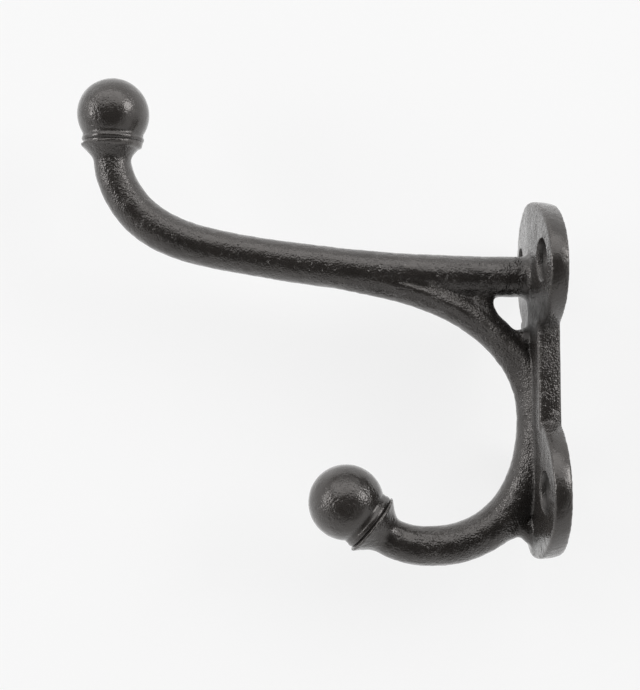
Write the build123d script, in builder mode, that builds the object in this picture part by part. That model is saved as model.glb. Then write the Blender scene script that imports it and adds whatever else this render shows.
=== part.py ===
from build123d import *
import math
import os

# Harness hook, one iron casting. Millimetres.
# +Z is up and -Y points out of the wall. The back of the wall plate lies in the plane Y = 0.
# The origin is on that back face, in the middle of the four screw holes.
# The casting is symmetric about the plane X = 0, which was the parting plane of its mould.

# Wall plate: two oval ears joined by a bridge. The front of each ear falls away from a crest
# on the parting plane towards the rim.
ear_half_width = 24.4
upper_ear_half_height = 16.4
lower_ear_half_height = 18.2
upper_ear_z = 26.4
lower_ear_z = -27.3
crest_thickness = 5.4
rim_thickness = 4.3
rim_round = 0.6
bridge_half_width = 12.2
bridge_thickness = 5.5
bridge_top = 12.6
bridge_bottom = -12.8
bridge_round = 0.4

# Four countersunk screw holes, each with a short straight mouth above its countersink.
hole_spacing_x = 30.0
hole_spacing_z = 55.4
hole_diameter = 7.0
countersink_diameter = 10.2
countersink_angle = 90.0
mouth_depth = 1.2

# Upper arm: a round bar that leaves the upper ear, then bends up to its ball.
arm_root_z = 24.3
arm_root_radius = 5.2
arm_middle_radius = 5.1
arm_waist_radius = 4.87
arm_bend_radius = 5.05
arm_neck_radius = 4.67
arm_root_fillet = 3.4
arm_root_sink = 0.3

# Lower hook: a round bar. Its strut leaves the underside of the upper arm, runs down the front
# of the bridge and sweeps out and up to its ball. The strut's back is flatter than its front.
bar_radius = 5.0
bar_neck_radius = 4.75
bar_heel_radius = 5.15
strut_back = 3.45
strut_end_radius = 4.6
strut_join = (-3.9, -11.0)
strut_end = (-61.5, 28.4)

# Webs that close the corners between the arm, the strut and the plate. Each has a concave edge,
# given by its two ends and the point midway. The rest of its outline is buried in the casting.
web_half_thickness = 3.4
crotch_arc = ((-12.2, 19.5), (-14.6, 17.8), (-13.2, 14.9))
crotch_back = ((-13.2, 13.5), (-32.0, 21.5), (-32.0, 25.0), (-12.2, 23.0))
window_foot_arc = ((-10.3, 12.0), (-8.3, 11.1), (-7.2, 12.5))
window_foot_back = ((-3.5, 12.5), (-3.5, 5.0), (-8.9, 7.0))
gusset_arc = ((-6.9, -42.0), (-8.4, -40.3), (-10.3, -40.9))
gusset_back = ((-15.6, -42.9), (-11.5, -35.0), (-2.5, -30.0), (-2.5, -45.0), (-5.3, -45.0))

# Balls and their beaded collars. Distances run from the ball's centre back along its neck.
upper_ball_radius = 9.0
upper_ball_centre = (-108.45, 66.6)
upper_ball_axis = 88.6
upper_flare_radius = 7.7
upper_flare_distance = 8.1
lower_ball_radius = 9.45
lower_ball_centre = (-51.8, -31.2)
lower_ball_axis = 139.5
lower_flare_radius = 8.15
lower_flare_distance = 9.0
upper_bell_length = 3.6
lower_bell_length = 4.6
bead_pitch = 0.95
bead_depth = 0.2
bead_step = 1.15
lip_height = 0.57
lip_round = 0.1
bell_hollow = 0.36
bell_taper = 0.3


def section_plane(path, position):
    """Plane across a path that lies in YZ: its x runs along X, its y points in the YZ plane."""
    return Plane(origin=path @ position, x_dir=(1, 0, 0), z_dir=path % position)


def bar_section(path, position, half_width, left, right):
    """Section of the lower bar: two half ellipses with one half width and a depth of their own.

    Left and right are the sides of the path as seen from +X.
    """
    with BuildSketch(section_plane(path, position), mode=Mode.PRIVATE) as section:
        with BuildLine():
            EllipticalCenterArc((0, 0), half_width, left, 180, arc_size=180)
            EllipticalCenterArc((0, 0), half_width, right, 0, arc_size=180)
        make_face()
    return section.sketch


def ball_section(centre, radius, axis_angle, flare_radius, flare_distance, bell_length, neck_radius):
    """Half section of a ball, its bead, its lip and the bell that narrows to the neck.

    Its x is the distance from the axis, and its y runs from the neck up through the ball.
    """
    angle = math.radians(axis_angle)
    plane = Plane(
        origin=(0, *centre),
        x_dir=(1, 0, 0),
        z_dir=(0, -math.sin(angle), math.cos(angle)),
    )
    groove = bead_pitch - flare_distance
    seat = -math.degrees(math.acos((flare_radius - bead_step) / radius))
    bead_top = radius * math.sin(math.radians(seat))
    bell_end = -flare_distance - bell_length
    bell_radius = neck_radius - bell_taper
    bell_middle = bell_radius + bell_hollow * (flare_radius - bell_radius)
    with BuildSketch(plane, mode=Mode.PRIVATE) as section:
        with BuildLine():
            ball = CenterArc((0, 0), radius, 90, seat - 90)
            bead = ThreePointArc(
                ball @ 1,
                (flare_radius - bead_depth, (bead_top + groove) / 2),
                (flare_radius - 2 * bead_depth, groove),
            )
            lip = ThreePointArc(
                bead @ 1,
                (flare_radius, groove - lip_height),
                (flare_radius - lip_round, -flare_distance),
            )
            bell = ThreePointArc(
                lip @ 1,
                (bell_middle, -flare_distance - bell_length / 2),
                (bell_radius, bell_end),
            )
            Polyline(bell @ 1, (0, bell_end), (0, radius))
        make_face()
    return section.sketch, Axis(plane.origin, plane.y_dir)


def web_outline(concave_arc, back):
    """Outline of a web: its concave edge, closed by points that lie inside the casting."""
    edge = ThreePointArc(*concave_arc)
    Polyline(edge @ 1, *back, edge @ 0)


with BuildLine(Plane.YZ) as arm_path:
    Spline(
        (-1.0, arm_root_z),
        (-37.0, 25.7),
        (-62.0, 28.6),
        (-80.0, 31.8),
        (-92.7, 35.3),
        (-101.9, 40.9),
        (-106.5, 47.0),
        (-108.8, 53.5),
        (-109.0, 58.5),
        tangents=((-1, 0.02), (0, 1)),
    )

with BuildLine(Plane.YZ) as throat_path:
    Spline(
        strut_join,
        (-5.8, -24.0),
        (-10.5, -33.3),
        (-19.1, -40.1),
        (-29.8, -42.45),
        (-39.5, -40.75),
        (-45.1, -37.1),
        tangents=((0, -1), (-0.76, 0.65)),
    )

with BuildLine(Plane.YZ) as strut_path:
    Spline(
        strut_join,
        (-4.6, -4.0),
        (-8.9, 5.4),
        (-15.7, 12.8),
        (-26.5, 19.6),
        (-41.3, 24.6),
        strut_end,
        tangents=((0, 1), (-1, 0.17)),
    )

with BuildPart() as harness_hook:
    # Plate outline, then a roof-shaped block that gives each ear its slope.
    with BuildSketch(Plane.XZ) as ears:
        with Locations((0, upper_ear_z)):
            Ellipse(ear_half_width, upper_ear_half_height)
        with Locations((0, lower_ear_z)):
            Ellipse(ear_half_width, lower_ear_half_height)
    extrude(amount=crest_thickness)
    with BuildSketch(Plane.XY.offset(lower_ear_z - lower_ear_half_height)) as roof:
        with BuildLine():
            Polyline(
                (-ear_half_width, 0),
                (ear_half_width, 0),
                (ear_half_width, -rim_thickness),
                (0, -crest_thickness),
                (-ear_half_width, -rim_thickness),
                close=True,
            )
        make_face()
    extrude(
        amount=upper_ear_z + upper_ear_half_height - lower_ear_z + lower_ear_half_height,
        mode=Mode.INTERSECT,
    )
    fillet(harness_hook.edges().filter_by(GeomType.BSPLINE), rim_round)
    with BuildSketch(Plane.XZ) as bridge:
        with Locations((0, (bridge_top + bridge_bottom) / 2)):
            Rectangle(2 * bridge_half_width, bridge_top - bridge_bottom)
    extrude(amount=bridge_thickness)
    bridge_edges = harness_hook.edges().filter_by(Axis.Z).group_by(Axis.Y)[0]
    fillet(bridge_edges, bridge_round)

    # Upper arm.
    for position, radius in (
        (0.0, arm_root_radius),
        (0.15, arm_root_radius),
        (0.3, arm_middle_radius),
        (0.45, arm_middle_radius),
        (0.62, arm_waist_radius),
        (0.8, arm_bend_radius),
        (1.0, arm_neck_radius),
    ):
        with BuildSketch(section_plane(arm_path.line, position)):
            Circle(radius)
    sweep(path=arm_path.line, multisection=True)

    # Concave ring where the arm meets its ear. Its y runs along the arm into the wall, and its
    # section is turned about the arm, so that the ring's seam lies off the arm's own.
    ring_plane = Plane(origin=(0, 0, arm_root_z), x_dir=(0.8, 0, 0.6), z_dir=(-0.6, 0, 0.8))
    ring_inner = arm_root_radius - arm_root_sink
    ring_outer = ring_inner + arm_root_fillet
    ring_seat = -rim_thickness
    ring_foot = arm_root_sink - crest_thickness
    ring_end = -crest_thickness - arm_root_fillet
    with BuildSketch(ring_plane):
        with BuildLine():
            Polyline(
                (ring_inner, ring_end),
                (0, ring_end),
                (0, ring_seat),
                (ring_outer, ring_seat),
                (ring_outer, ring_foot),
            )
            RadiusArc((ring_outer, ring_foot), (ring_inner, ring_end), arm_root_fillet)
        make_face()
    revolve(axis=Axis(ring_plane.origin, ring_plane.y_dir))

    # Lower hook and strut.
    for path, sections in (
        (
            throat_path.line,
            (
                (0.0, bar_radius, strut_back, bar_radius),
                (0.42, bar_heel_radius, bar_heel_radius, bar_heel_radius),
                (0.75, bar_radius, bar_radius, bar_radius),
                (1.0, bar_neck_radius, bar_neck_radius, bar_neck_radius),
            ),
        ),
        (
            strut_path.line,
            (
                (0.0, bar_radius, bar_radius, strut_back),
                (0.3, bar_radius, bar_radius, strut_back),
                (0.6, bar_radius, bar_radius, strut_back),
                (1.0, strut_end_radius, strut_end_radius, strut_end_radius),
            ),
        ),
    ):
        faces = [bar_section(path, *section) for section in sections]
        sweep(sections=faces, path=path, multisection=True)

    # Webs: the crotch between arm and strut, the foot of the window, and the gusset.
    with BuildSketch(Plane.YZ):
        for concave_arc, back in (
            (crotch_arc, crotch_back),
            (window_foot_arc, window_foot_back),
            (gusset_arc, gusset_back),
        ):
            with BuildLine():
                web_outline(concave_arc, back)
            make_face()
    extrude(amount=web_half_thickness, both=True)

    # Balls and collars.
    for ball in (
        (
            upper_ball_centre,
            upper_ball_radius,
            upper_ball_axis,
            upper_flare_radius,
            upper_flare_distance,
            upper_bell_length,
            arm_neck_radius,
        ),
        (
            lower_ball_centre,
            lower_ball_radius,
            lower_ball_axis,
            lower_flare_radius,
            lower_flare_distance,
            lower_bell_length,
            bar_neck_radius,
        ),
    ):
        section, axis = ball_section(*ball)
        revolve(section, axis=axis)

    # Screw holes. Each countersink starts a mouth's depth below the sloping front of its ear.
    hole_face = crest_thickness - (crest_thickness - rim_thickness) * hole_spacing_x / 2 / ear_half_width
    with Locations(Plane.XZ.offset(hole_face - mouth_depth)):
        with GridLocations(hole_spacing_x, hole_spacing_z, 2, 2):
            CounterSinkHole(
                hole_diameter / 2,
                countersink_diameter / 2,
                counter_sink_angle=countersink_angle,
            )

harness_hook.part.label = "harness_hook"
os.makedirs("parts", exist_ok=True)
export_step(harness_hook.part, "parts/harness_hook.step")
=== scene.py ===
import math

import bpy
import numpy as np
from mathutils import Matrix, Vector


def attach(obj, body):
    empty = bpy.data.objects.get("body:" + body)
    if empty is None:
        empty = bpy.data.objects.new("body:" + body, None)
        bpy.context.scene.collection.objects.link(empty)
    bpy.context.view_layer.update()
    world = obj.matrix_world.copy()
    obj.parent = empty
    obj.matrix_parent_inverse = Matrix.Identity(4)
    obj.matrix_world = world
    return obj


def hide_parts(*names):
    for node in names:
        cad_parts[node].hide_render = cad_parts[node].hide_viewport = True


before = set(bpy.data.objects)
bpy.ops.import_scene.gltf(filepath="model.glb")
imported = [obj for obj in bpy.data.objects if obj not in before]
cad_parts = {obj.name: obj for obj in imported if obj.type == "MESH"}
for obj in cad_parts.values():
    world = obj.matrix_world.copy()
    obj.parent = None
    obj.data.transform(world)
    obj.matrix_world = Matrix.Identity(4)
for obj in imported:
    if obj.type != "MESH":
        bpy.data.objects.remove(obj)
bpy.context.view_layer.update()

# Cast iron harness hook. Shapes are worked out in millimetres, in the frame of the casting:
# Y = 0 is the back of the wall plate, -Y points out of the wall and +Z is up. The casting is
# symmetric about X = 0. mesh_piece() turns millimetres into Blender's metres.
MM = 0.001

NODE = "harness_hook"

# Wall plate: two oval ears, each (middle Z, half height), with a low roof-shaped front, and the
# bridge between them. The rims lean in towards the wall, by RIM_LEAN at the back.
EAR_HALF_WIDTH = 24.5
CREST, RIM = 5.6, 4.3
RIM_ROUND, RIM_LEAN = 0.75, 0.7
EARS = {"upper": (26.4, 16.5), "lower": (-27.3, 18.3)}
BRIDGE_HALF_WIDTH, BRIDGE_THICKNESS = 12.3, 5.5
BRIDGE_ROUND = 0.6
BRIDGE_ENDS = (-13.4, 13.2)

# Four countersunk holes.
HOLE_SPACING = (30.0, 55.4)
HOLE_RADIUS, SINK_RADIUS, MOUTH_DEPTH = 3.5, 5.1, 1.2

# A bar's path is a list of legs: knots (Y, Z), and the directions at its two ends. Its radius is
# given at shares of its length. The arm flares by ROOT_FLARE at the wall.
ARM_LEGS = (
    (
        (
            (-1.0, 24.3), (-37.0, 25.7), (-62.0, 28.6), (-80.0, 31.8), (-92.7, 35.3),
            (-101.9, 40.9), (-106.5, 47.0), (-108.8, 53.5), (-109.0, 58.5),
        ),
        (-1.0, 0.02), (0.0, 1.0),
    ),
)
ARM_RADII = (
    (0.0, 5.0), (0.1, 5.05), (0.2, 5.15), (0.45, 5.1), (0.62, 4.87), (0.8, 5.03), (1.0, 4.6),
)
ROOT_FLARE, ROOT_REACH = 2.5, 2.4

# Lower hook: one bar from inside the arm, down the strut, round the throat and up to its ball.
# Its back is the side away from the throat. The strut is shallower there, its ridge wanders a
# little (positive is towards the throat), and its flanks are flattened by the crease.
STRUT_JOIN = (-3.9, -11.0)
HOOK_LEGS = (
    (
        (
            (-61.5, 28.4), (-41.3, 24.6), (-26.5, 19.6), (-15.7, 12.8), (-8.9, 5.4),
            (-4.6, -4.0), STRUT_JOIN,
        ),
        (1.0, -0.17), (0.0, -1.0),
    ),
    (
        (
            STRUT_JOIN, (-5.8, -24.0), (-10.5, -33.3), (-19.1, -40.1), (-29.8, -42.45),
            (-39.5, -40.75), (-45.1, -37.1),
        ),
        (0.0, -1.0), (-0.76, 0.65),
    ),
)
HOOK_RADII = ((0.0, 4.6), (0.14, 5.0), (0.6, 5.0), (0.72, 5.15), (0.84, 5.0), (1.0, 4.75))
STRUT_BACK = ((0.0, 4.6), (0.16, 3.5), (0.55, 3.4), (0.7, 5.1), (0.84, 5.0), (1.0, 4.75))
STRUT_RIDGE = (
    (0.0, 0.0), (0.16, 0.9), (0.3, 1.2), (0.38, 0.5), (0.44, -0.6), (0.5, 0.2), (0.56, 1.0),
    (0.68, 0.2), (1.0, 0.0),
)
STRUT_CREASE = ((0.0, 0.05), (0.14, 0.3), (0.52, 0.3), (0.68, 0.05), (1.0, 0.0))
# The line (Y, Z) of the strut's crest, which gets more grit and a painted highlight.
STRUT_CREST = (
    (-30.0, 22.4), (-22.1, 18.0), (-18.7, 15.3), (-12.3, 9.2), (-7.6, 4.6), (-6.6, 1.5),
    (-6.4, -9.0),
)

# Short bars, each (knots, radius), that close the corners: the window's crotch and foot, and the
# heel under the throat.
WEBS = (
    (((-16.2, 23.0), (-17.3, 17.8), (-15.4, 12.8)), 3.0),
    (((-12.0, 8.8), (-8.3, 8.3), (-3.5, 9.6)), 2.95),
    (((-3.3, -40.7), (-8.4, -37.2), (-14.2, -39.1)), 3.25),
)

# Balls: centre (Y, Z), radius, and the axis from neck to ball in degrees. Heights run along the
# axis from the ball's centre. The bell widens from foot to lip as (height, radius), leans by its
# own few degrees, and stands off the axis by shift, away from the hook's inside. The bead is
# (height, radius, size) of its ring.
UPPER_BALL = dict(centre=(-108.55, 66.55), radius=8.9, axis=88.6, bead=(-6.2, 7.25, 0.42))
UPPER_BELL = dict(foot=(-11.4, 4.55), lip=(-7.75, 7.3), lean=3.0, shift=0.25)
LOWER_BALL = dict(centre=(-51.8, -31.2), radius=9.45, axis=139.5, bead=(-7.35, 7.3, 0.45))
LOWER_BELL = dict(foot=(-13.2, 4.7), lip=(-8.9, 7.85), lean=0.8, shift=0.12)

# The casting is remeshed at VOXEL, and its fillets are filled in rounds. All skins are then made
# uneven by layers of noise (cell, height).
VOXEL = 0.425
CAST_FILLET_ROUNDS, RELAX_ROUNDS = 14, 2
SKIN = ((3.2, 0.045), (1.3, 0.03), (0.85, 0.05))
BALL_SKIN = ((3.0, 0.04), (1.2, 0.015))
SEED = 7

# How coarse the sand's grit is: on the bridge's sides, on the fronts of the upper and lower ear,
# round the ears' rims and more at the rims' ends, on the bars' flanks, and on the strut's crest.
BRIDGE_GRIT, UPPER_FRONT_GRIT, LOWER_FRONT_GRIT = 2.1, 2.0, 0.6
RIM_GRIT, RIM_END_GRIT, FLANK_GRIT, CREST_GRIT = 0.3, 1.5, 0.4, 1.2

# Colours of the iron (linear): its black goes between two shades. It turns to the lighter one where
# it is rubbed and, as a painted highlight, along the strut's crest, and to the darker one as
# painted shade in hollows, in the holes and under the arm. The tint warms its gloss.
BLACKS = (0.0105, 0.0093, 0.0085, 1), (0.017, 0.015, 0.0137, 1)
RUBBED_AND_HIGHLIGHT, SHADE_BLACK = (0.05, 0.046, 0.043, 1), (0.004, 0.0035, 0.003, 1)
GLOSS_TINT = (1.0, 0.955, 0.93, 1)

# The white of the paper and the world, the backdrop's X and the floor's Z.
WHITE = 0.93
BACKDROP_X, FLOOR_Z = -25.2, -92

# The camera looks along -X at AIM, from CAMERA_DISTANCE, turned by ROLL degrees.
AIM = (0.0, -57.75, 8.2)
CAMERA_DISTANCE = 300.0
ROLL = 0.85
LENS = 62.609


# --- curves and grids ---------------------------------------------------------------------


def spline(knots, start, end, count=2000):
    """Points along a cubic spline through knots (Y, Z), with the given end directions.

    Each coordinate is a cubic between knots a chord h apart, with knot slopes m that solve
    h1*m0 + 2*(h0 + h1)*m1 + h0*m2 = 3*(h1*d0 + h0*d1), d being the chords' slopes, so that the
    curvature has no jump.
    """
    knots = np.asarray(knots, float)
    step = np.linalg.norm(np.diff(knots, axis=0), axis=1)
    chord = np.diff(knots, axis=0) / step[:, None]
    n = len(knots)
    matrix, right = np.eye(n), np.zeros((n, 2))
    right[0], right[-1] = start / np.linalg.norm(start), end / np.linalg.norm(end)
    inner = np.arange(1, n - 1)
    matrix[inner, inner - 1] = step[1:]
    matrix[inner, inner] = 2 * (step[1:] + step[:-1])
    matrix[inner, inner + 1] = step[:-1]
    right[inner] = 3 * (step[1:, None] * chord[:-1] + step[:-1, None] * chord[1:])
    slope = np.linalg.solve(matrix, right)
    at = np.r_[0, np.cumsum(step)]
    u = np.linspace(0, at[-1], count)
    k = np.clip(np.searchsorted(at, u, side="right") - 1, 0, n - 2)
    h = step[k][:, None]
    t = ((u - at[k]) / step[k])[:, None]
    return (
        (2 * t**3 - 3 * t**2 + 1) * knots[k]
        + (t**3 - 2 * t**2 + t) * h * slope[k]
        + (3 * t**2 - 2 * t**3) * knots[k + 1]
        + (t**3 - t**2) * h * slope[k + 1]
    )


def smooth_path(legs, count):
    """Evenly spaced points along the legs' splines, unit tangents, and shares of the length."""
    fine = np.concatenate([spline(*leg) for leg in legs])
    step = np.linalg.norm(np.diff(fine, axis=0), axis=1)
    fine, length = fine[np.r_[True, step > 0]], np.r_[0, np.cumsum(step[step > 0])]
    share = np.linspace(0, 1, count)
    points = np.column_stack([np.interp(share * length[-1], length, fine[:, i]) for i in (0, 1)])
    tangent = np.gradient(points, axis=0)
    tangent /= np.linalg.norm(tangent, axis=1)[:, None]
    return points, tangent, share


def eased(share, table):
    """A value along a path: between the table's (share, value) pairs it follows smoothsteps."""
    at, value = np.array(table, float).T
    k = np.clip(np.searchsorted(at, share, side="right") - 1, 0, len(at) - 2)
    t = np.clip((share - at[k]) / (at[k + 1] - at[k]), 0, 1)
    return value[k] + (value[k + 1] - value[k]) * t * t * (3 - 2 * t)


def rising(value, start, end):
    """0 up to start, 1 from end on, and a straight line between. Start may be the larger."""
    return np.clip((value - start) / (end - start), 0, 1)


def grid_faces(rows, columns):
    """Quads of a grid whose columns close into a ring."""
    corner = np.arange((rows - 1) * columns).reshape(rows - 1, columns)
    beside = np.roll(corner, -1, axis=1)
    return np.stack([corner, beside, beside + columns, corner + columns], axis=-1).reshape(-1, 4)


def closed_grid(rings):
    """Vertices and faces of a stack of rings, shape (rows, columns, 3), closed by a point at
    each end, the mean of its end ring."""
    rows, columns, _ = rings.shape
    quads = grid_faces(rows, columns)
    points = np.concatenate([rings.reshape(-1, 3), rings[:1].mean(axis=1), rings[-1:].mean(axis=1)])
    first = np.arange(columns)
    second = np.roll(first, -1)
    last = first + (rows - 1) * columns
    start = np.stack([second, first, np.full(columns, rows * columns)], axis=-1)
    end = np.stack([last, np.roll(last, -1), np.full(columns, rows * columns + 1)], axis=-1)
    return points, quads, np.concatenate([start, end])


def bar(legs, radius, back=None, ridge=None, crease=None, count=420, around=96):
    """A round bar along a path in the plane X = 0: station s, angle a gives
    centre(s) + r*cos(a) along X + depth*sin(a) across the path, where depth is r on the path's
    right and its own value on the left, the sides as seen from +X. The ridge between the sides
    may stand off to the right by its own distance. Radius takes a station's share of the path and
    its centre; back, ridge and crease take the share. The crease k flattens the flanks either
    side of the ridge: X is multiplied by 1 - k*|sin(a)|."""
    centre, tangent, share = smooth_path(legs, count)
    angle = np.linspace(0, 2 * np.pi, around, endpoint=False)
    r = radius(share, centre)[:, None]
    depth_left = r if back is None else back(share)[:, None]
    off = 0.0 if ridge is None else ridge(share)[:, None]
    flatter = 0.0 if crease is None else crease(share)[:, None]
    left_side, right_side = (depth_left + off) * np.sin(angle), (r - off) * np.sin(angle)
    across = np.where(np.sin(angle) > 0, left_side, right_side) - off
    left = np.column_stack([-tangent[:, 1], tangent[:, 0]])
    rings = np.stack(
        [
            r * np.cos(angle) * (1 - flatter * np.abs(np.sin(angle))),
            centre[:, :1] + left[:, :1] * across,
            centre[:, 1:] + left[:, 1:] * across,
        ],
        axis=-1,
    )
    return closed_grid(rings)


def arm_radius(share, centre):
    """The arm's radius, plus a flare at the wall: ROOT_FLARE * (1 - sqrt(1 - (1 - t)^2)) is a
    quarter circle that fades out a ROOT_REACH away from the ear's crest."""
    t = np.clip((-centre[:, 0] - CREST + 0.4) / ROOT_REACH, 0, 1)
    return eased(share, ARM_RADII) + ROOT_FLARE * (1 - np.sqrt(1 - (1 - t) ** 2))


def plate_front(x):
    """Depth of an ear's front at x: a roof from the crest to the rim, rounded at the crest."""
    soft = 0.15
    return CREST - (CREST - RIM) * (np.sqrt(x * x + soft * soft) - soft) / EAR_HALF_WIDTH


def ear(centre_z, half_height, around=400, across=26):
    """An ear as rings round its middle: over the back, up the rim, round the front edge and in
    over the front. At angle a, a ring inset by w from the outline lies at
    x = (EAR_HALF_WIDTH - w)*cos(a), z = (half_height - w)*sin(a). On the rim
    w = RIM_LEAN*(1 - s)^2, s going from 0 at the back to 1 in front. On the edge, with q from 0
    to a quarter turn, w = RIM_ROUND*(1 - cos q), and the depth is front - RIM_ROUND*(1 - sin q).
    On the faces, both half axes shrink by the same share."""
    angle = np.linspace(0, 2 * np.pi, around, endpoint=False)
    half = np.array([EAR_HALF_WIDTH, half_height])
    shrink = np.linspace(0.03, 1, across)[:, None]
    s = np.linspace(0, 1, 14)[1:, None]
    q = np.linspace(0, np.pi / 2, 9)[1:, None]
    axes = np.concatenate(
        [
            shrink * (half - RIM_LEAN),
            half - RIM_LEAN * (1 - s) ** 2,
            half - RIM_ROUND * (1 - np.cos(q)),
            shrink[-2::-1] * (half - RIM_ROUND),
        ]
    )
    share = np.concatenate([0 * shrink, s, np.ones((len(q) + across - 1, 1))])
    rise = np.concatenate([np.zeros((across + len(s), 1)), np.sin(q), np.ones((across - 1, 1))])
    x, z = axes[:, :1] * np.cos(angle), axes[:, 1:] * np.sin(angle)
    depth = share * (plate_front(x) - RIM_ROUND) + RIM_ROUND * rise
    return closed_grid(np.stack([x, -depth, z + centre_z], axis=-1))


def bridge(stations=60, corner_steps=8):
    """The bridge: a box section with rounded front edges and sides that lean in towards the wall,
    carried up Z. The outline goes from the back's middle round one side to the front, and back
    on the mirrored side."""
    half, r = BRIDGE_HALF_WIDTH, BRIDGE_ROUND
    s = np.linspace(0, 1, 12)
    q = np.linspace(0, np.pi / 2, corner_steps)[1:]
    x = np.concatenate(
        [
            np.linspace(0.5, half - RIM_LEAN, 14)[:-1],
            half - RIM_LEAN * (1 - s) ** 2,
            half - r * (1 - np.cos(q)),
            np.linspace(half - r, 0.5, 14)[1:],
        ]
    )
    y = np.concatenate(
        [
            np.zeros(13),
            s * (BRIDGE_THICKNESS - r),
            BRIDGE_THICKNESS - r * (1 - np.sin(q)),
            np.full(13, BRIDGE_THICKNESS),
        ]
    )
    x, y = np.concatenate([x, -x[::-1]]), np.concatenate([y, y[::-1]])
    z = np.linspace(*BRIDGE_ENDS, stations)
    rings = np.stack(np.broadcast_arrays(x[None], -y[None], z[:, None]), axis=-1)
    return closed_grid(np.array(rings))


def turned(profile, centre, axis, columns=200):
    """A closed shell turned about an axis through the centre (Y, Z): each (radius, height) of the
    profile becomes a ring, height running along the axis."""
    r, h = np.array(profile, float).T[:, :, None]
    angle = np.linspace(0, 2 * np.pi, columns, endpoint=False)
    a = math.radians(axis)
    side = r * np.sin(angle)
    rings = np.stack(
        [
            r * np.cos(angle),
            centre[0] + math.cos(a) * h - math.sin(a) * side,
            centre[1] + math.sin(a) * h + math.cos(a) * side,
        ],
        axis=-1,
    )
    return closed_grid(rings)


def bell(ball, foot, lip, lean, shift):
    """The bell under a ball: a cone from foot to lip whose radius follows t^1.25, a rounded lip
    0.7 high, and a flat top that the ball stands on. It turns about an axis that leans from the
    ball's own about the lip."""
    t = np.linspace(0, 1, 14)
    q = np.linspace(-0.5, 0.5, 9) * np.pi
    low, high = np.array(foot), np.array(lip)
    cone = np.column_stack([low[1] + (high[1] - low[1]) * t**1.25, low[0] + (high[0] - low[0]) * t])
    edge = np.column_stack([high[1] + 0.35 * np.cos(q), high[0] + 0.35 + 0.35 * np.sin(q)])
    inside = [(foot[1] - 0.8, foot[0] - 0.8)]
    top = [(high[1] * k, high[0] + 0.7) for k in (0.9, 0.5, 0.1)]
    profile = np.concatenate([inside, cone, edge, top]) - (0, lip[0])
    a, direction = math.radians(ball["axis"]), math.radians(ball["axis"] + 90)
    centre = (
        ball["centre"][0] + lip[0] * math.cos(a) + shift * math.cos(direction),
        ball["centre"][1] + lip[0] * math.sin(a) + shift * math.sin(direction),
    )
    return turned(profile, centre, ball["axis"] + lean)


def ball_piece(centre, radius, axis, bead):
    """A ball on its bead: a stem sunk in the bell, a ring of half a circle, a narrow valley, and
    the ball's own circle from where it has the ring's radius."""
    height, ring, size = bead
    start = -math.acos((ring + 0.22) / radius)
    q = np.linspace(-0.5, 0.33, 14) * np.pi
    round_ring = np.column_stack([ring + size * np.cos(q), height + 1.5 * size * np.sin(q)])
    turn = np.linspace(start, np.pi / 2 - 0.02, 120)
    circle = np.column_stack([radius * np.cos(turn), radius * np.sin(turn)])
    stem = [(ring - 1.5, height - 2.6), (ring - 0.2, height - 2.0), (ring + 0.12, height - 0.95)]
    return turned(np.concatenate([stem, round_ring, circle]), centre, axis)


def hole_cutter(x, z, around=96):
    """What a countersunk hole removes, as rings of (radius, depth) from behind the plate: a bore,
    a 90 degree cone, and a straight mouth that rounds over to the plate's front."""
    face = float(plate_front(abs(x)))
    seat = face - MOUTH_DEPTH
    start = seat - (SINK_RADIUS - HOLE_RADIUS)
    r, depth = np.array(
        [
            (HOLE_RADIUS, -2.0),
            (HOLE_RADIUS, start - 0.2),
            (HOLE_RADIUS + 0.12, start + 0.04),
            (SINK_RADIUS - 0.12, seat - 0.16),
            (SINK_RADIUS, seat),
            (SINK_RADIUS + 0.02, face - 0.15),
            (SINK_RADIUS + 0.25, face + 0.06),
            (SINK_RADIUS + 1.6, face + 0.6),
            (SINK_RADIUS + 1.9, face + 2.0),
        ]
    ).T[:, :, None]
    angle = np.linspace(0, 2 * np.pi, around, endpoint=False)
    deep = np.broadcast_to(-depth, (len(r), around))
    return closed_grid(np.stack([x + r * np.cos(angle), deep, z + r * np.sin(angle)], axis=-1))


# --- meshes -------------------------------------------------------------------------------


def outward(points, quads, triangles):
    """The shell with its faces turned so that the volume they enclose, a sixth of the sum of
    a . (b x c) over its triangles, is positive."""
    halves = np.concatenate([quads[:, [0, 1, 2]], quads[:, [0, 2, 3]], triangles])
    a, b, c = (points[halves[:, i]] for i in range(3))
    if np.einsum("ij,ij->", a, np.cross(b, c)) < 0:
        quads, triangles = quads[:, ::-1], triangles[:, ::-1]
    return points, quads, triangles


def mesh_piece(name, *shells):
    """One object from closed shells of (points in millimetres, quads, triangles)."""
    mesh = bpy.data.meshes.new(name)
    offset, points, faces = 0, [], []
    for shell in shells:
        p, quads, triangles = outward(*shell)
        points.append(p * MM)
        faces += (quads + offset).tolist() + (triangles + offset).tolist()
        offset += len(p)
    mesh.from_pydata(np.concatenate(points).tolist(), [], faces)
    mesh.validate()
    mesh.update()
    obj = bpy.data.objects.new(name, mesh)
    bpy.context.scene.collection.objects.link(obj)
    return obj


def coordinates(mesh):
    flat = np.zeros(len(mesh.vertices) * 3)
    mesh.vertices.foreach_get("co", flat)
    return flat.reshape(-1, 3)


def set_coordinates(mesh, points):
    mesh.vertices.foreach_set("co", points.ravel())
    mesh.update()


def normals(mesh):
    flat = np.zeros(len(mesh.vertices) * 3, np.float32)
    mesh.vertex_normals.foreach_get("vector", flat)
    return flat.reshape(-1, 3).astype(float)


def neighbour_mean(mesh):
    """A function that gives each vertex the mean of its neighbours' values."""
    edges = np.zeros(len(mesh.edges) * 2, np.int64)
    mesh.edges.foreach_get("vertices", edges)
    a, b = edges.reshape(-1, 2).T
    count = len(mesh.vertices)
    one, other = np.r_[a, b], np.r_[b, a]
    valence = np.maximum(np.bincount(one, minlength=count), 1)

    def mean(values):
        total = [np.bincount(one, values[other, i], count) for i in range(values.shape[1])]
        return np.column_stack(total) / valence[:, None]

    return mean


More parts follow.
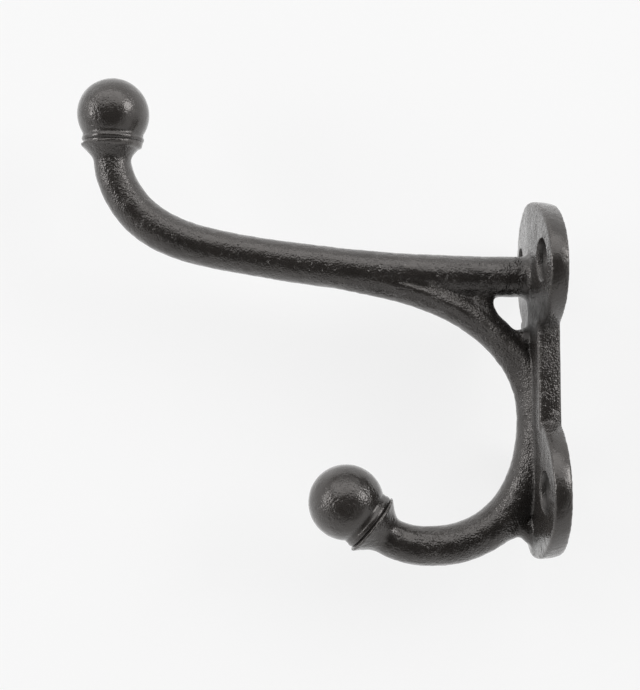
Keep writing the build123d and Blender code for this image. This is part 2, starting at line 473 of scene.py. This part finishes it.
def fill_creases(obj, rounds, share=0.5):
    """Cast fillets: where a vertex lies below the mean of its neighbours, measured along its
    normal, it moves part of the way there, so hollows fill and ridges stay."""
    mesh = obj.data
    mean = neighbour_mean(mesh)
    for _ in range(rounds):
        points = coordinates(mesh)
        move = mean(points) - points
        rise = np.einsum("ij,ij->i", move, normals(mesh))
        set_coordinates(mesh, points + share * np.where(rise > 0, 1.0, 0.0)[:, None] * move)


def relax(obj, rounds):
    """Evens out a mesh without shrinking it: one step towards the neighbours' mean, then one
    slightly larger step back."""
    mesh = obj.data
    mean = neighbour_mean(mesh)
    for step in (0.5, -0.52) * rounds:
        points = coordinates(mesh)
        set_coordinates(mesh, points + step * (mean(points) - points))


def lattice_noise(points, cell, seed):
    """Smooth noise from -1 to 1: random values on a lattice of the given cell, blended between
    the eight corners around a point by smoothstep weights."""
    low = points.min(axis=0) - cell
    q = (points - low) / cell
    k = np.floor(q).astype(int)
    t = q - k
    t = t * t * (3 - 2 * t)
    values = np.random.default_rng(seed).uniform(-1, 1, k.max(axis=0) + 2)
    total = np.zeros(len(points))
    for dx in (0, 1):
        for dy in (0, 1):
            for dz in (0, 1):
                corner = np.array([dx, dy, dz])
                weight = np.prod(np.where(corner, t, 1 - t), axis=1)
                total += weight * values[tuple((k + corner).T)]
    return total


def roughen(obj, layers, strength=None):
    """Moves each vertex along its normal by the sum of noise layers (cell, height), in
    millimetres, times the strength that the vertex is given."""
    mesh = obj.data
    points = coordinates(mesh) / MM
    normal = normals(mesh)
    height = sum(h * lattice_noise(points, cell, SEED + i) for i, (cell, h) in enumerate(layers))
    if strength is not None:
        height = height * strength(points, normal)
    set_coordinates(mesh, (points + height[:, None] * normal) * MM)


def applied(obj, kind, **settings):
    """Puts a modifier on the object and replaces its mesh by the result."""
    modifier = obj.modifiers.new(kind.lower(), kind)
    for key, value in settings.items():
        setattr(modifier, key, value)
    evaluated = obj.evaluated_get(bpy.context.evaluated_depsgraph_get())
    result = bpy.data.meshes.new_from_object(evaluated)
    obj.modifiers.clear()
    obj.data = result


def shade_smooth(obj):
    obj.data.polygons.foreach_set("use_smooth", np.ones(len(obj.data.polygons), bool))
    obj.data.update()


# --- the casting --------------------------------------------------------------------------


def strut_crest(points, normal):
    """1 within 0.6 mm of the strut's crest, falling to 0 at 1.5 mm, on the sides that face along X:
    there the crest gets more grit and a painted highlight. The distance is to the nearest of the
    lines that join the crest's points."""
    nearest = np.full(len(points), np.inf)
    for start, end in zip(STRUT_CREST[:-1], STRUT_CREST[1:]):
        start, step = np.array(start), np.subtract(end, start)
        share = np.clip((points[:, 1:] - start) @ step / (step @ step), 0, 1)
        apart = np.linalg.norm(points[:, 1:] - start - share[:, None] * step, axis=1)
        nearest = np.minimum(nearest, apart)
    return rising(np.abs(normal[:, 0]), 0.35, 0.6) * rising(nearest, 1.5, 0.6)


def grit_of(points, normal):
    """How coarse the sand has left each place. On bars it goes from FLANK_GRIT on the flanks,
    where the mould was drawn off, to 1 on the sides that face along X. It is 1.3 times that near
    the wall, and higher on the strut's crest. The lower ear's front is coarser in its middle."""
    x, y, z = points.T
    on_plate = y > -RIM - 1.3
    side = np.abs(normal[:, 1]) < 0.6
    bridge_side = on_plate & side & (np.abs(z) < 13.5) & (np.abs(x) > BRIDGE_HALF_WIDTH - 1.5)
    rim = on_plate & side & ~bridge_side & (np.abs(x) > 5.6)
    end = rising(np.abs(normal[:, 2]), 0.75, 0.9)
    rim_grit = RIM_GRIT + (RIM_END_GRIT - RIM_GRIT) * end
    upper_front = on_plate & ~side & (z > 0)
    lower_front = on_plate & ~side
    lower_grit = LOWER_FRONT_GRIT + rising(np.abs(x), 6, 4)
    near_wall = np.where(y > -30, 1.3, 1.0)
    facing = rising(np.abs(normal[:, 0]), 0.45, 0.75)
    bar_grit = (FLANK_GRIT + (1 - FLANK_GRIT) * facing) * near_wall
    return np.select(
        [bridge_side, rim, upper_front, lower_front],
        [BRIDGE_GRIT, rim_grit, UPPER_FRONT_GRIT, lower_grit],
        bar_grit + CREST_GRIT * strut_crest(points, normal),
    )


def painted_shade_of(points):
    """How much painted shade darkens and dulls each place: 1 inside the holes, and up to 0.9 on the
    plate's front in the arm's shade, between Z = 8 and 21, less beyond the crest."""
    x, y, z = points.T
    across = np.hypot(np.abs(x) - HOLE_SPACING[0] / 2, np.abs(z) - HOLE_SPACING[1] / 2)
    hole = (across < SINK_RADIUS + 0.1) & (y > -CREST) & (y < -0.1)
    under = rising(z, 21, 17) * rising(z, 8, 11) * (np.abs(y + CREST) < 1.6)
    return np.where(hole, 1.0, np.where(x > -1, 0.9, 0.35) * under)


def mark_surface(obj):
    """Stores two values at each vertex: grit, from grit_of, and edge. Edge is 1 on rubbed ridges
    that stand 0.18 mm above the mean of what is around them and 0 on flats and bars, plus a painted
    highlight of 0.9 on the strut's crest, less painted shade: down to -0.15 in hollows, and the
    painted shade of the holes and of the plate under the arm."""
    mesh = obj.data
    mean = neighbour_mean(mesh)
    points, normal = coordinates(mesh), normals(mesh)
    grit = grit_of(points / MM, normal)[:, None]
    around = points
    for _ in range(3):
        around, grit = mean(around), mean(grit)
    height = np.einsum("ij,ij->i", points - around, normal) / MM
    # Rubbed ridges are lighter; painted shade darkens hollows, the holes and the plate under the
    # arm; a painted highlight lightens the strut's crest.
    edge = rising(height, 0.06, 0.18) + np.clip(height / 0.1, -0.15, 0)
    edge = edge - painted_shade_of(points / MM) + 0.9 * strut_crest(points / MM, normal)
    edge = mean(edge.clip(-1, 1)[:, None])
    for name, values in (("grit", grit), ("edge", edge)):
        attribute = mesh.attributes.new(name, "FLOAT", "POINT")
        attribute.data.foreach_set("value", values.ravel().astype(np.float32))


def collar_strength(centre, radius, axis, bead):
    """A strength for roughen(): 1 on the ball, and three times that below it, on its bead."""
    a = math.radians(axis)
    along = np.array([0, math.cos(a), math.sin(a)])

    def strength(points, normal):
        height = (points - np.array([0, *centre])) @ along
        return 1 + 2 * rising(height, bead[0] + 1.4, bead[0] + 0.9)

    return strength


def skin_strength(points, normal):
    """Uneven everywhere, but the ears' rims and the plate's back are smoother."""
    plate = points[:, 1] > -RIM - 1.5
    return np.where(plate, np.where(normal[:, 1] < -0.6, 0.9, 0.4), 1.0)


def make_casting():
    """The casting without its balls: all its closed shells remeshed into one skin, with cast
    fillets, an uneven surface and drilled holes."""
    arm = bar(ARM_LEGS, arm_radius)
    hook = bar(
        HOOK_LEGS,
        lambda share, centre: eased(share, HOOK_RADII),
        lambda share: eased(share, STRUT_BACK),
        lambda share: eased(share, STRUT_RIDGE),
        lambda share: eased(share, STRUT_CREASE),
    )
    webs = [
        bar(
            ((knots, np.subtract(knots[1], knots[0]), np.subtract(knots[2], knots[1])),),
            lambda share, centre, r=r: np.full(len(share), r),
            count=40,
            around=48,
        )
        for knots, r in WEBS
    ]
    ears = [ear(z, half_height) for z, half_height in EARS.values()]
    bells = [bell(UPPER_BALL, **UPPER_BELL), bell(LOWER_BALL, **LOWER_BELL)]
    casting = mesh_piece("casting", arm, hook, *webs, *ears, *bells, bridge())
    applied(casting, "REMESH", mode="VOXEL", voxel_size=VOXEL * MM, adaptivity=0.0)
    fill_creases(casting, CAST_FILLET_ROUNDS)
    relax(casting, RELAX_ROUNDS)
    roughen(casting, SKIN, skin_strength)
    drill(casting)
    mark_surface(casting)
    return casting


def drill(casting):
    """Cuts the four countersunk holes."""
    for x in (-HOLE_SPACING[0] / 2, HOLE_SPACING[0] / 2):
        for z in (-HOLE_SPACING[1] / 2, HOLE_SPACING[1] / 2):
            cutter = mesh_piece("cutter", hole_cutter(x, z))
            applied(casting, "BOOLEAN", operation="DIFFERENCE", solver="MANIFOLD", object=cutter)
            bpy.data.objects.remove(cutter)


# --- finish -------------------------------------------------------------------------------


def iron(name, grain, pits, rough, patch):
    """Sand-cast iron: near black, with a fine gritty grain, scattered pits and a satin gloss that
    changes a little from place to place. Grain and pits grow with a piece's grit values, times
    patches that run between the two shares of patch. Its edge values lighten the black on rubbed
    ridges and, as a painted highlight, on the strut's crest; as painted shade they darken and dull
    hollows, the holes and the plate under the arm. Patterns follow Object coordinates, in metres."""
    material = bpy.data.materials.new(name)
    material.use_nodes = True
    nodes, links = material.node_tree.nodes, material.node_tree.links
    shader = nodes["Principled BSDF"]
    where = nodes.new("ShaderNodeTexCoord").outputs["Object"]

    def noise(scale, detail=3.0, roughness=0.55):
        node = nodes.new("ShaderNodeTexNoise")
        node.inputs["Scale"].default_value = scale
        node.inputs["Detail"].default_value = detail
        node.inputs["Roughness"].default_value = roughness
        links.new(where, node.inputs["Vector"])
        return node.outputs["Fac"]

    def ramp(fac, *stops):
        node = nodes.new("ShaderNodeValToRGB")
        for element, (position, colour) in zip(node.color_ramp.elements, stops):
            element.position, element.color = position, colour
        links.new(fac, node.inputs["Fac"])
        return node.outputs["Color"]

    def stored(name):
        node = nodes.new("ShaderNodeAttribute")
        node.attribute_name = name
        return node.outputs["Fac"]

    def combine(operation, a, b):
        node = nodes.new("ShaderNodeMath")
        node.operation = operation
        for socket, number in zip(node.inputs, (a, b)):
            if isinstance(number, float):
                socket.default_value = number
            else:
                links.new(number, socket)
        return node.outputs[0]

    def blend(fac, first, second):
        node = nodes.new("ShaderNodeMix")
        node.data_type = "RGBA"
        links.new(fac, node.inputs["Factor"])
        for side, colour in (("A", first), ("B", second)):
            socket = next(s for s in node.inputs if s.name == side and s.type == "RGBA")
            if isinstance(colour, tuple):
                socket.default_value = colour
            else:
                links.new(colour, socket)
        return next(s for s in node.outputs if s.type == "RGBA")

    def grey(level):
        return (level, level, level, 1)

    def bump(height, distance, below=None):
        node = nodes.new("ShaderNodeBump")
        node.inputs["Distance"].default_value = distance * MM
        links.new(height, node.inputs["Height"])
        if below is not None:
            links.new(below, node.inputs["Normal"])
        return node.outputs["Normal"]

    # Two blacks in patches of about a centimetre, rubbed lighter on ridges, with a painted
    # highlight along the strut's crest and painted shade in hollows, the holes and under the arm.
    patches = ramp(noise(90.0, 4.0), (0.3, BLACKS[0]), (0.7, BLACKS[1]))
    edge = stored("edge")
    # Where edge is positive: lighter on rubbed ridges, and a painted highlight on the strut's
    # crest.
    rubbed_and_highlit = blend(combine("MULTIPLY", edge, 0.6), patches, RUBBED_AND_HIGHLIGHT)
    # Painted shade: where edge is negative, the colour goes to the shade black and the gloss dulls.
    painted_shade = combine("MULTIPLY", edge, -0.7)
    links.new(blend(painted_shade, rubbed_and_highlit, SHADE_BLACK), shader.inputs["Base Color"])
    # A satin gloss that changes in spots of a millimetre or two, and is dulled by the painted shade
    # in hollows, the holes and under the arm.
    gloss = blend(painted_shade, grey(0.55), grey(0.1))
    links.new(gloss, shader.inputs["Specular IOR Level"])
    satin = ramp(noise(700.0, 4.0, 0.6), (0.3, grey(rough - 0.06)), (0.75, grey(rough + 0.08)))
    dull = combine("MULTIPLY", combine("MAXIMUM", painted_shade, 0.0), 0.5)
    links.new(combine("ADD", satin, dull), shader.inputs["Roughness"])
    # Grains half a millimetre across, and pits of a millimetre on top of them.
    patchy = ramp(noise(170.0, 2.0), (0.38, grey(patch[0])), (0.6, grey(patch[1])))
    strength = combine("MULTIPLY", patchy, stored("grit"))
    sand = bump(combine("MULTIPLY", noise(2500.0, 0.6, 0.5), strength), grain)
    hollows = ramp(noise(900.0, 1.0), (0.3, grey(0.0)), (0.42, grey(1.0)))
    pitted = bump(combine("MULTIPLY", hollows, strength), pits, sand)
    links.new(pitted, shader.inputs["Normal"])
    shader.inputs["Specular Tint"].default_value = GLOSS_TINT
    return material


# --- stage, light and camera --------------------------------------------------------------


def add_camera():
    data = bpy.data.cameras.new("camera")
    data.lens, data.sensor_width = LENS, 36.0
    data.clip_start, data.clip_end = 0.01, 10.0
    camera = bpy.data.objects.new("camera", data)
    camera.location = Vector((AIM[0] + CAMERA_DISTANCE, AIM[1], AIM[2])) * MM
    camera.rotation_euler = (math.pi / 2, math.radians(ROLL), math.pi / 2)
    bpy.context.scene.collection.objects.link(camera)
    bpy.context.scene.camera = camera
    return camera


def add_lamp(name, towards, distance, size, watts):
    """An area lamp on the line from the hook's middle towards the given direction."""
    data = bpy.data.lights.new(name, "AREA")
    data.shape, data.size, data.size_y = "RECTANGLE", size[0], size[1]
    data.energy = watts
    lamp = bpy.data.objects.new(name, data)
    aim = Vector(AIM) * MM
    direction = Vector(towards).normalized()
    lamp.location = aim + direction * distance
    lamp.rotation_mode = "QUATERNION"
    lamp.rotation_quaternion = direction.to_track_quat("Z", "Y")
    bpy.context.scene.collection.objects.link(lamp)
    return lamp


def plane(name, corners):
    mesh = bpy.data.meshes.new(name)
    mesh.from_pydata([Vector(c) * MM for c in corners], [], [(0, 1, 2, 3)])
    obj = bpy.data.objects.new(name, mesh)
    bpy.context.scene.collection.objects.link(obj)
    return obj


def paper(name, glow, reach=1.0, one_sided=False):
    """Matt white paper, lit from behind by a share, glow, of its brightness, so shadows on it stay
    faint. Things near it get reach times the light that the camera sees. A one-sided sheet lets
    everything through from behind."""
    material = bpy.data.materials.new(name)
    material.use_nodes = True
    nodes, links = material.node_tree.nodes, material.node_tree.links
    shader, output = nodes["Principled BSDF"], nodes["Material Output"]
    shader.inputs["Base Color"].default_value = (0.75, 0.75, 0.75, 1)
    shader.inputs["Roughness"].default_value = 0.9
    shader.inputs["Specular IOR Level"].default_value = 0.1

    def blended(fac, first, second):
        mix = nodes.new("ShaderNodeMixShader")
        if isinstance(fac, float):
            mix.inputs["Fac"].default_value = fac
        else:
            links.new(fac, mix.inputs["Fac"])
        links.new(first, mix.inputs[1])
        links.new(second, mix.inputs[2])
        return mix.outputs[0]

    white = nodes.new("ShaderNodeEmission")
    white.inputs["Color"].default_value = (WHITE, WHITE, WHITE, 1)
    power = nodes.new("ShaderNodeMath")
    power.operation = "MULTIPLY_ADD"
    power.inputs[1].default_value, power.inputs[2].default_value = 1 - reach, reach
    links.new(nodes.new("ShaderNodeLightPath").outputs["Is Camera Ray"], power.inputs[0])
    links.new(power.outputs[0], white.inputs["Strength"])
    seen = blended(glow, shader.outputs[0], white.outputs[0])
    if one_sided:
        clear = nodes.new("ShaderNodeBsdfTransparent")
        side = nodes.new("ShaderNodeNewGeometry")
        seen = blended(side.outputs["Backfacing"], seen, clear.outputs[0])
    links.new(seen, output.inputs["Surface"])
    return material


def add_world():
    """A pale tent with a dark opening on the camera's side: light comes evenly from directions
    whose X is under 0.4, and fades to a twentieth where X nears 1. The camera sees white."""
    world = bpy.data.worlds.new("studio")
    bpy.context.scene.world = world
    world.use_nodes = True
    nodes, links = world.node_tree.nodes, world.node_tree.links
    background = nodes["Background"]
    background.inputs["Color"].default_value = (WHITE, WHITE, WHITE, 1)
    split = nodes.new("ShaderNodeSeparateXYZ")
    links.new(nodes.new("ShaderNodeTexCoord").outputs["Generated"], split.inputs[0])
    tent = nodes.new("ShaderNodeMapRange")
    tent.interpolation_type = "SMOOTHSTEP"
    tent.inputs["From Min"].default_value = 0.85
    tent.inputs["From Max"].default_value = 0.4
    tent.inputs["To Min"].default_value = 0.05
    tent.inputs["To Max"].default_value = 1.35
    links.new(split.outputs["X"], tent.inputs["Value"])
    brighter = nodes.new("ShaderNodeMath")
    brighter.operation = "MAXIMUM"
    links.new(nodes.new("ShaderNodeLightPath").outputs["Is Camera Ray"], brighter.inputs[0])
    links.new(tent.outputs["Result"], brighter.inputs[1])
    links.new(brighter.outputs[0], background.inputs["Strength"])


casting = make_casting()
upper_ball = mesh_piece("upper_ball", ball_piece(**UPPER_BALL))
lower_ball = mesh_piece("lower_ball", ball_piece(**LOWER_BALL))
for ball, shape in ((upper_ball, UPPER_BALL), (lower_ball, LOWER_BALL)):
    roughen(ball, BALL_SKIN, collar_strength(**shape))
    mark_surface(ball)

casting_iron = iron("casting_iron", grain=0.105, pits=0.06, rough=0.25, patch=(0.6, 1.5))
ball_iron = iron("ball_iron", grain=0.05, pits=0.035, rough=0.25, patch=(0.3, 2.0))
for piece, finish in ((casting, casting_iron), (upper_ball, ball_iron), (lower_ball, ball_iron)):
    piece.data.materials.clear()
    piece.data.materials.append(finish)
    shade_smooth(piece)
    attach(piece, "root")
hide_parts(NODE)

backdrop = plane(
    "backdrop",
    [(BACKDROP_X, *c) for c in ((-1600, -1500), (1400, -1500), (1400, 1500), (-1600, 1500))],
)
backdrop.data.materials.append(paper("backdrop_paper", glow=0.84, reach=1.6, one_sided=True))
floor = plane(
    "floor",
    [(*c, FLOOR_Z) for c in ((-1500, -1600), (1500, -1600), (1500, 1500), (-1500, 1500))],
)
floor.data.materials.append(paper("floor_paper", glow=0.85))
backdrop.visible_shadow = False
# The floor is only seen: it sends no light of its own up onto the hook and throws no shadow.
floor.visible_shadow = floor.visible_glossy = floor.visible_diffuse = False

add_camera()
add_world()
add_lamp("top_softbox", (0.64, -0.03, 0.77), 1.9, (2.6, 1.7), 31.0)
add_lamp("left_softbox", (0.41, -0.885, 0.20), 1.8, (0.50, 1.0), 13.5)
add_lamp("right_softbox", (0.50, 0.785, 0.37), 1.8, (0.72, 0.85), 17.0)
add_lamp("back_softbox", (-0.72, -0.3, 0.62), 1.9, (0.7, 0.9), 9.0)

bpy.context.scene.view_settings.view_transform = "Standard"
